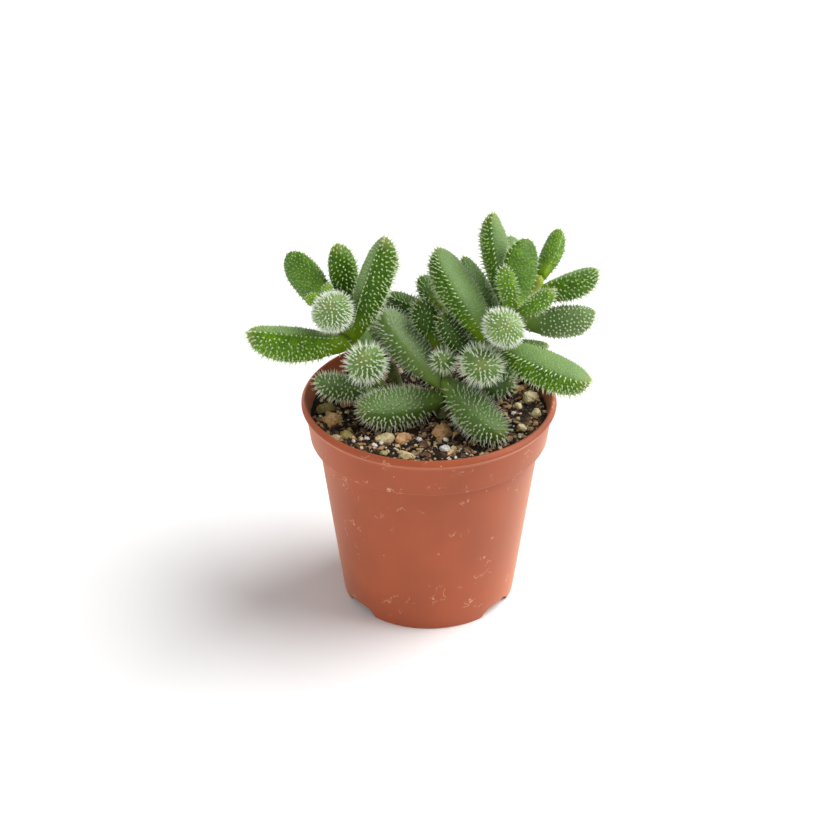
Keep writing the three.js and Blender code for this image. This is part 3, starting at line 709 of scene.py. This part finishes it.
def makeBristleHair():
    # Plant hair, dry and glassy: a pale green foot and a shaft, which is whiter where the leaf has a bloom.
    look = bristleLook
    material, add, shader = newMaterial("plant_hair_glassy")
    rise = add("ShaderNodeAttribute", out="Fac", attribute_name="rise")
    bloom = add("ShaderNodeAttribute", out="Fac", attribute_name="bloom")
    whiteness = add("ShaderNodeMath", {0: bloom, 1: 3.0}, operation="MULTIPLY", use_clamp=True)
    shaft = add("ShaderNodeMix", {
        0: whiteness, 6: linear(look["shaft"]), 7: linear(look["white"])}, out=2, data_type="RGBA")
    grown = add("ShaderNodeMath", {0: rise, 1: 0.9}, operation="DIVIDE", use_clamp=True)
    colour = add("ShaderNodeMix", {0: grown, 6: linear(look["foot"]), 7: shaft}, out=2, data_type="RGBA")
    plug(shader, {
        "Base Color": colour, "Roughness": 0.3, "IOR": 1.5, "Subsurface Weight": 0.3,
        "Subsurface Radius": (1.0, 1.0, 0.8), "Subsurface Scale": 0.3 * mm})
    return material


# Stems: round, slightly uneven, downy, with a rounded growing tip

stem = {"sides": 20, "rings": 64, "bristleLength": 0.7, "bristleSize": 0.8, "bristleSpacing": 1.0, "cap": 1.1}
stemTaper = [(0, 1), (0.955, 1), (0.972, 0.9), (0.985, 0.7), (0.994, 0.45), (1, 0.1)]


def makeStemTree(skin, coatTree):
    tree, add, given, result = newTree("shootStem", {
        "Start": (0.0, 0.0, 0.0), "Middle": (0.0, 0.0, 1.0), "End": (0.0, 0.0, 2.0), "Radius": 1.0,
        "Length": 1.0, "Spacing": 1.0, "Seed": 0})
    line = add("GeometryNodeCurveQuadraticBezier", {
        "Resolution": stem["rings"], "Start": given["Start"], "Middle": given["Middle"], "End": given["End"]})
    share = add("GeometryNodeSplineParameter")
    line = add("GeometryNodeStoreNamedAttribute", {"Geometry": line, "Name": "share", "Value": share})
    taper = add("ShaderNodeFloatCurve", {"Value": share}, curve=stemTaper)
    swell = add("ShaderNodeTexNoise", {"Scale": 0.5, "Detail": 1.0})
    uneven = add("ShaderNodeMapRange", {"Value": swell, "To Min": 0.85, "To Max": 1.15})
    shaped = add("ShaderNodeMath", {0: taper, 1: uneven}, operation="MULTIPLY")
    radius = add("ShaderNodeMath", {0: shaped, 1: given["Radius"]}, operation="MULTIPLY")
    ring = add("GeometryNodeCurvePrimitiveCircle", {"Resolution": stem["sides"], "Radius": 1.0})
    body = add("GeometryNodeCurveToMesh", {
        "Curve": line, "Profile Curve": ring, "Scale": radius, "Fill Caps": True})
    body = add("GeometryNodeStoreNamedAttribute", {
        "Geometry": body, "Name": "outward", "Value": add("GeometryNodeInputNormal")},
        data_type="FLOAT_VECTOR")
    points = add("GeometryNodeDistributePointsOnFaces", {
        "Mesh": body, "Distance Min": given["Spacing"], "Density Max": 4.0, "Seed": given["Seed"]},
        distribute_method="POISSON")
    points = add("GeometryNodeStoreNamedAttribute", {
        "Geometry": points, "Name": "size", "Value": stem["bristleSize"]})
    coat = add("GeometryNodeGroup", {
        "Geometry": points, "Length": given["Length"], "Along": (0.0, 0.0, 1.0), "Seed": given["Seed"]},
        node_tree=coatTree)
    body = add("GeometryNodeSetMaterial", {"Geometry": body, "Material": skin})
    whole = add("GeometryNodeJoinGeometry", {0: [coat, body]})
    smooth = add("GeometryNodeSetShadeSmooth", {"Geometry": whole})
    scaled = add("GeometryNodeTransform", {"Geometry": smooth, "Scale": (mm, mm, mm)})
    plug(result, {"Geometry": scaled})
    return tree


def makeStems(tree):
    for number, (name, (root, bend, tip)) in enumerate(shoots.items()):
        onward = (Vector(tip) - Vector(bend)).normalized() * stem["cap"]
        piece = grow(f"stem_{name}_grown", tree, {
            "Start": root, "Middle": bend, "End": tuple(Vector(tip) + onward), "Radius": stemRadius,
            "Length": stem["bristleLength"], "Spacing": stem["bristleSpacing"], "Seed": number + 70})
        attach(piece, "root")
        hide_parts("stem_" + name)


stemLook = {"old": "6a6a3c", "middle": "87994a", "young": "98ab2e", "streak": 1.1}


def makeStemSkin():
    # Green shoot, living: pale and watery where it is young, browner where it leaves the soil.
    look = stemLook
    material, add, shader = newMaterial("shoot_skin_green")
    share = add("ShaderNodeAttribute", out="Fac", attribute_name="share")
    place = add("ShaderNodeTexCoord", out="Object")
    streaks = add("ShaderNodeTexNoise", {"Vector": place, "Scale": 1000 / look["streak"], "Detail": 3.0})
    vary = add("ShaderNodeMapRange", {"Value": streaks, "To Min": -0.25, "To Max": 0.25})
    amount = add("ShaderNodeMath", {0: share, 1: vary}, operation="ADD")
    colour = add("ShaderNodeValToRGB", {
        "Fac": amount}, stops=[(0.1, look["old"]), (0.5, look["middle"]), (0.95, look["young"])])
    plug(shader, {
        "Base Color": colour, "Roughness": 0.5, "Subsurface Weight": 0.15,
        "Subsurface Radius": (0.7, 1.0, 0.25), "Subsurface Scale": 0.8 * mm})
    return material


# Soil: a body that fills the pot, covered with crumbs, fibres and grit

soil = {
    "edgeLevel": 44.2, "middleLevel": 43.1, "dish": 4, "roughness": 0.35, "crumble": 0.42, "gap": 0.12,
    "crumbSize": 1.0, "crumbSpacing": 0.6, "gritSize": 1.1, "gritDensity": 0.38, "flakeDensity": 0.36,
    "fibreDensity": 0.3, "raspPerMm": 1.6, "rim": 0.9, "sides": 150, "rings": 64,
}


def soilLevel(x, y):
    # a shallow dish with low waves, as the solid has it
    r = math.hypot(x, y) / innerRadius(soil["edgeLevel"])
    level = soil["middleLevel"] + (soil["edgeLevel"] - soil["middleLevel"]) * r ** soil["dish"]
    return (level + soil["roughness"] * math.sin(0.9 * x + 1.3) * math.cos(0.8 * y)
            + 0.6 * soil["roughness"] * math.sin(1.9 * x - 1.3 * y))


def makeSoilBody():
    edge = innerRadius(soil["edgeLevel"]) - soil["gap"]
    wall = [(innerShoulder - 0.15, pot["collarBottom"] - 0.3), (innerFoot - 0.1, floorTop + 0.15)]
    points, faces = [(0, 0, soilLevel(0, 0) * mm)], []
    rings, sides = soil["rings"], soil["sides"]
    for i in range(1, rings + 1):
        r = edge * i / rings
        for k in range(sides):
            turn = math.tau * k / sides
            x, y = r * math.cos(turn), r * math.sin(turn)
            crumble = noise.fractal(Vector((x, y, 0)) * 0.9, 0.8, 2.2, 5) * soil["crumble"]
            points.append((x * mm, y * mm, (soilLevel(x, y) + crumble) * mm))
    for r, z in wall:
        for k in range(sides):
            turn = math.tau * k / sides
            points.append((r * math.cos(turn) * mm, r * math.sin(turn) * mm, z * mm))
    points.append((0, 0, wall[-1][1] * mm))
    bands = rings + len(wall) - 1
    last = 1 + bands * sides
    for k in range(sides):
        there = (k + 1) % sides
        faces.append((0, 1 + k, 1 + there))
        for i in range(bands):
            a, b = 1 + i * sides, 1 + (i + 1) * sides
            faces.append((a + k, b + k, b + there, a + there))
        faces.append((last + k, len(points) - 1, last + there))
    mesh = bpy.data.meshes.new("soil_body")
    mesh.from_pydata(points, [], faces)
    return mesh


def makeSoilTree(peat, bark, grit):
    tree, add, given, result = newTree("pottingMix", {
        "Crumb size": 1.0, "Crumb spacing": 0.5, "Grit size": 1.0, "Grit density": 0.2,
        "Flake density": 0.3, "Fibre density": 0.2})
    ground = add("GeometryNodeTransform", {"Geometry": given["Geometry"], "Scale": (1000, 1000, 1000)})
    normal = add("GeometryNodeInputNormal")
    up = add("ShaderNodeSeparateXYZ", {0: normal}, out="Z")
    x, y = add("ShaderNodeSeparateXYZ", {0: add("GeometryNodeInputPosition")}).node.outputs[:2]
    level = add("ShaderNodeCombineXYZ", {"X": x, "Y": y})
    reach = add("ShaderNodeVectorMath", {0: level}, out="Value", operation="LENGTH")
    inside = add("ShaderNodeMath", {
        0: reach, 1: innerRadius(soil["edgeLevel"]) - soil["rim"]}, operation="LESS_THAN")
    upward = add("ShaderNodeMath", {0: up, 1: 0.15}, operation="GREATER_THAN")
    onTop = add("ShaderNodeMath", {0: upward, 1: inside}, operation="MULTIPLY")
    lump = add("GeometryNodeMeshIcoSphere", {"Radius": 0.5, "Subdivisions": 1})
    grain = add("GeometryNodeMeshIcoSphere", {"Radius": 0.5, "Subdivisions": 2})
    twig = add("GeometryNodeCurveQuadraticBezier", {
        "Resolution": 5, "Start": (-1.2, 0, 0), "Middle": (0, 0.5, 0.35), "End": (1.3, 0, 0.1)})
    tube = add("GeometryNodeCurvePrimitiveCircle", {"Resolution": 3, "Radius": 0.07})
    fibre = add("GeometryNodeCurveToMesh", {"Curve": twig, "Profile Curve": tube, "Fill Caps": True})

    # shape, its spacing or density, size and range of sizes, flatness, material, raggedness, seed
    kinds = [
        (lump, "Crumb spacing", "Crumb size", (0.25, 1.0), 0.7, peat, 0.4, 1),
        (grain, "Grit density", "Grit size", (0.35, 1.3), 0.75, grit, 0.5, 2),
        (lump, "Flake density", "Crumb size", (0.8, 2.6), 0.3, bark, 0.4, 3),
        (fibre, "Fibre density", "Crumb size", (0.5, 1.6), 0.7, bark, 0.1, 4),
    ]
    layers = []
    for shape, amount, size, (least, most), flatness, material, raggedness, seed in kinds:
        even = amount == "Crumb spacing"
        places = {"Distance Min": given[amount], "Density Max": 9.0} if even else {"Density": given[amount]}
        points = add("GeometryNodeDistributePointsOnFaces", {
            "Mesh": ground, "Selection": onTop, "Seed": seed, **places},
            distribute_method="POISSON" if even else "RANDOM")
        tone = add("FunctionNodeRandomValue", {2: 0.0, 3: 1.0, "Seed": seed + 10}, out=1, data_type="FLOAT")
        placed = add("GeometryNodeStoreNamedAttribute", {"Geometry": points, "Name": "tone", "Value": tone})
        # small pieces outnumber large ones
        draw = add("FunctionNodeRandomValue", {2: 0.0, 3: 1.0, "Seed": seed + 20}, out=1, data_type="FLOAT")
        small = add("ShaderNodeMath", {0: draw, 1: 2.2}, operation="POWER")
        spread = add("ShaderNodeMapRange", {"Value": small, "To Min": least, "To Max": most})
        length = add("ShaderNodeMath", {0: spread, 1: given[size]}, operation="MULTIPLY")
        squash = add("FunctionNodeRandomValue", {
            0: (0.7, 0.7, flatness * 0.8), 1: (1.25, 1.1, flatness * 1.2), "Seed": seed + 30},
            data_type="FLOAT_VECTOR")
        scale = add("ShaderNodeVectorMath", {0: squash, "Scale": length}, operation="SCALE")
        turn = add("FunctionNodeRandomValue", {
            0: (-0.5, -0.5, 0.0), 1: (0.5, 0.5, math.tau), "Seed": seed + 40}, data_type="FLOAT_VECTOR")
        copies = add("GeometryNodeInstanceOnPoints", {
            "Points": placed, "Instance": shape, "Rotation": turn, "Scale": scale})
        real = add("GeometryNodeRealizeInstances", {"Geometry": copies})
        rasp = add("ShaderNodeTexNoise", {"Scale": soil["raspPerMm"], "Detail": 2.0}, out="Color")
        centred = add("ShaderNodeVectorMath", {0: rasp, 1: (0.5, 0.5, 0.5)}, operation="SUBTRACT")
        offset = add("ShaderNodeVectorMath", {0: centred, "Scale": raggedness}, operation="SCALE")
        ragged = add("GeometryNodeSetPosition", {"Geometry": real, "Offset": offset})
        layers.append(add("GeometryNodeSetMaterial", {"Geometry": ragged, "Material": material}))
    body = add("GeometryNodeSetMaterial", {"Geometry": ground, "Material": peat})
    whole = add("GeometryNodeJoinGeometry", {0: [*layers, body]})
    scaled = add("GeometryNodeTransform", {"Geometry": whole, "Scale": (mm, mm, mm)})
    plug(result, {"Geometry": scaled})
    return tree


def makeSoil(tree):
    piece = grow("soil_mix", tree, {
        "Crumb size": soil["crumbSize"], "Crumb spacing": soil["crumbSpacing"], "Grit size": soil["gritSize"],
        "Grit density": soil["gritDensity"], "Flake density": soil["flakeDensity"],
        "Fibre density": soil["fibreDensity"]}, makeSoilBody())
    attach(piece, "root")
    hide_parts("soil")


soilLook = {
    "peat": ("1a110a", "3f2b1c", "70523a"), "clod": 0.8,
    "bark": ("33231a", "76573f", "b8976f"), "barkGrain": 0.5,
}


def makePeat():
    # Peat, damp and crumbled: warm brown, each crumb with a tone of its own, and painted shade that darkens it
    # to near black in the hollows of its bump.
    material, add, shader = newMaterial("peat_damp")
    place = add("ShaderNodeTexCoord", out="Object")
    tone = add("ShaderNodeAttribute", out="Fac", attribute_name="tone")
    clods = add("ShaderNodeTexNoise", {"Vector": place, "Scale": 1000 / soilLook["clod"], "Detail": 4.0})
    # the clods' noise also shapes the bump, and where it is low the colour darkens: painted shade in the hollows
    amount = add("ShaderNodeMath", {0: tone, 1: clods}, operation="MULTIPLY")
    colour = add("ShaderNodeValToRGB", {"Fac": amount}, stops=[*zip((0, 0.3, 0.6), soilLook["peat"])])
    bump = add("ShaderNodeBump", {"Strength": 0.8, "Distance": 0.2 * mm, "Height": clods})
    plug(shader, {"Base Color": colour, "Normal": bump, "Roughness": 0.85})
    return material


def makeBark():
    # Bark and root fibre, weathered: greyish brown flakes with a dull grain.
    material, add, shader = newMaterial("bark_weathered")
    place = add("ShaderNodeTexCoord", out="Object")
    tone = add("ShaderNodeAttribute", out="Fac", attribute_name="tone")
    grain = add("ShaderNodeTexNoise", {"Vector": place, "Scale": 1000 / soilLook["barkGrain"], "Detail": 4.0})
    amount = add("ShaderNodeMath", {0: tone, 1: 0.6, 2: grain}, operation="MULTIPLY_ADD")
    colour = add("ShaderNodeValToRGB", {"Fac": amount}, stops=[*zip((0.4, 0.7, 1.0), soilLook["bark"])])
    plug(shader, {"Base Color": colour, "Roughness": 0.8})
    return material


# Gravel: the large stones of the solids, and the smaller ones that lie between them

# name, place, size, turn, tone: 0.1 tan, 0.35 orange cream, 0.55 cream, 0.72 olive, 0.9 and over white
stones = [
    ("tan", (-17.4, 4.5), (4.2, 3.4, 3.2), 20, 0.1),
    ("olive", (-22.6, 1.4), (4.4, 2.6, 2.4), 15, 0.72),
    ("orange", (-21, -2.9), (4.6, 3, 2.6), 25, 0.36),
    ("cream_cluster", (-9.3, -10.7), (4.2, 2.8, 2.4), 10, 0.6),
    ("rust", (-5.5, -10.3), (3.8, 2.8, 2.6), 40, 0.3),
    ("angular", (2.8, -7.6), (4.2, 4, 3.4), 70, 0.15),
    ("white", (3.2, -14), (2.2, 2.2, 2), 0, 1.0),
    ("pale", (-4.9, -17.9), (3.4, 2.2, 2), 5, 0.62),
    ("yellow", (22.3, 5.9), (3.8, 3, 2.8), 60, 0.58),
]
# place, size, turn, tone
looseStones = [
    ((-19.8, -10.4), (2.2, 1.6, 1.4), 30, 0.6), ((-17.7, -8.9), (2.8, 2.2, 1.8), 10, 0.72),
    ((4.8, -15.3), (3.2, 1.7, 1.3), 20, 0.42), ((19.2, 2.8), (2.2, 1.6, 1.5), 0, 0.55),
    ((23.2, -0.5), (2.4, 1.8, 1.6), 80, 0.57), ((19.9, -6.5), (2.2, 1.9, 1.5), 50, 0.56),
    ((19.9, 10.1), (2.4, 2, 1.8), 15, 0.2), ((-2.1, -10.5), (1.2, 1, 0.9), 0, 1.0),
    ((-13, -10.1), (1.4, 1.1, 1), 0, 0.95), ((-11.5, -13.4), (1.3, 1.1, 1), 0, 0.9),
    ((-9.7, -15.8), (1.1, 1, 0.8), 0, 0.7), ((-7.2, -14), (1, 0.9, 0.8), 0, 0.95),
    ((-14.7, -10), (1.2, 0.9, 0.8), 0, 0.6), ((1.2, -13), (1, 0.9, 0.8), 0, 0.5),
]
gravel = {
    "lumps": 0.26, "facetsPerMm": 0.55, "lumpsPerMm": 0.8, "pits": 0.13, "pitsPerMm": 2.6,
    "rise": 0.12, "detail": 5, "looseDetail": 4,
}


def makeStoneTree(grit):
    # stands a stone on each point, from its own size, turn and tone
    tree, add, given, result = newTree("gravelStone", {
        "Detail": gravel["detail"], "Lumps": gravel["lumps"], "Pits": gravel["pits"]})
    block = add("GeometryNodeMeshIcoSphere", {"Radius": 0.5, "Subdivisions": given["Detail"]})
    size = add("GeometryNodeInputNamedAttribute", {"Name": "size"}, data_type="FLOAT_VECTOR")
    turn = add("GeometryNodeInputNamedAttribute", {"Name": "turn"}, data_type="FLOAT")
    rotation = add("ShaderNodeCombineXYZ", {"Z": turn})
    copies = add("GeometryNodeInstanceOnPoints", {
        "Points": given["Geometry"], "Instance": block, "Rotation": rotation, "Scale": size})
    body = add("GeometryNodeRealizeInstances", {"Geometry": copies})
    normal = add("GeometryNodeInputNormal")
    # a coarse cell pattern gives broken faces, and two noises the lumps and the pits
    facets = add("ShaderNodeTexVoronoi", {"Scale": gravel["facetsPerMm"]})
    lumps = add("ShaderNodeTexNoise", {"Scale": gravel["lumpsPerMm"], "Detail": 2.0})
    pits = add("ShaderNodeTexNoise", {"Scale": gravel["pitsPerMm"], "Detail": 3.0})
    for field, amount in ((facets, "Lumps"), (lumps, "Lumps"), (pits, "Pits")):
        centred = add("ShaderNodeMath", {0: field, 1: 0.5}, operation="SUBTRACT")
        shift = add("ShaderNodeMath", {0: centred, 1: given[amount]}, operation="MULTIPLY")
        push = add("ShaderNodeMath", {0: shift, 1: 3.0}, operation="MULTIPLY")
        offset = add("ShaderNodeVectorMath", {0: normal, "Scale": push}, operation="SCALE")
        body = add("GeometryNodeSetPosition", {"Geometry": body, "Offset": offset})
    smooth = add("GeometryNodeSetShadeSmooth", {"Geometry": body})
    painted = add("GeometryNodeSetMaterial", {"Geometry": smooth, "Material": grit})
    scaled = add("GeometryNodeTransform", {"Geometry": painted, "Scale": (mm, mm, mm)})
    plug(result, {"Geometry": scaled})
    return tree


def stonePoints(rows):
    mesh = bpy.data.meshes.new("stone_points")
    places = [(x, y, soilLevel(x, y) + size[2] * gravel["rise"]) for (x, y), size, turn, tone in rows]
    mesh.from_pydata(places, [], [])
    for name, kind, values in (
            ("size", "FLOAT_VECTOR", [size for place, size, turn, tone in rows]),
            ("turn", "FLOAT", [math.radians(turn) for place, size, turn, tone in rows]),
            ("tone", "FLOAT", [tone for place, size, turn, tone in rows])):
        attribute = mesh.attributes.new(name, kind, "POINT")
        for item, value in zip(attribute.data, values):
            if kind == "FLOAT":
                item.value = value
            else:
                item.vector = value
    return mesh


def makeStones(tree):
    for name, place, size, turn, tone in stones:
        points = stonePoints([(place, size, turn, tone)])
        piece = grow(f"stone_{name}_rough", tree, {"Detail": gravel["detail"]}, points)
        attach(piece, "root")
        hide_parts("stone_" + name)
    loose = grow("loose_gravel", tree, {"Detail": gravel["looseDetail"]}, stonePoints(looseStones))
    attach(loose, "root")


gravelLook = {
    "tones": [(0.05, "bf9468"), (0.35, "f3c48c"), (0.55, "f7e8bc"), (0.72, "b8ae6c"), (0.8, "eee3bd"),
              (0.9, "fbf9f3")],
    "rust": "b07a48", "hollow": "6b4f36", "stain": 1.6, "pore": 0.45,
}


def makeGrit():
    # Pumice and limestone gravel, washed: chalky, pitted stones from tan to white, with rusty stains, and
    # painted shade that darkens them in the pits.
    look = gravelLook
    material, add, shader = newMaterial("gravel_washed")
    place = add("ShaderNodeTexCoord", out="Object")
    tone = add("ShaderNodeAttribute", out="Fac", attribute_name="tone")
    base = add("ShaderNodeValToRGB", {"Fac": tone}, stops=look["tones"])
    stain = add("ShaderNodeTexNoise", {"Vector": place, "Scale": 1000 / look["stain"], "Detail": 3.0})
    stained = add("ShaderNodeMapRange", {
        "Value": stain, "From Min": 0.5, "From Max": 0.72, "To Min": 0.0, "To Max": 0.6})
    rusty = add("ShaderNodeMix", {0: stained, 6: base, 7: linear(look["rust"])}, out=2, data_type="RGBA")
    # the pores' noise is the bump's height, and where it is low the stone is mixed towards a dark brown: painted
    # shade in the pits
    pores = add("ShaderNodeTexNoise", {"Vector": place, "Scale": 1000 / look["pore"], "Detail": 3.0})
    hollow = add("ShaderNodeMapRange", {
        "Value": pores, "From Min": 0.36, "From Max": 0.46, "To Min": 0.5, "To Max": 0.0})
    colour = add("ShaderNodeMix", {0: hollow, 6: rusty, 7: linear(look["hollow"])}, out=2, data_type="RGBA")
    bump = add("ShaderNodeBump", {"Strength": 0.7, "Distance": 0.15 * mm, "Height": pores})
    plug(shader, {"Base Color": colour, "Normal": bump, "Roughness": 0.75})
    return material


makeCamera()
makeStudio()
print("camera, light and floor made")
makePot(makePolypropylene())
print("pot made")
gritMaterial = makeGrit()
makeSoil(makeSoilTree(makePeat(), makeBark(), gritMaterial))
makeStones(makeStoneTree(gritMaterial))
print("soil and stones made")
bristleCoat = makeCoatTree(makeBristleHair())
makeStems(makeStemTree(makeStemSkin(), bristleCoat))
print("stems made")
makeLeaves(makeLeafTree(makeLeafSkin(), bristleCoat))
print("leaves made")
triangles = {piece.name: sum(len(face.vertices) - 2 for face in piece.data.polygons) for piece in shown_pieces()}
print("triangles:", sum(triangles.values()), "most in one piece:", max(triangles.values()))
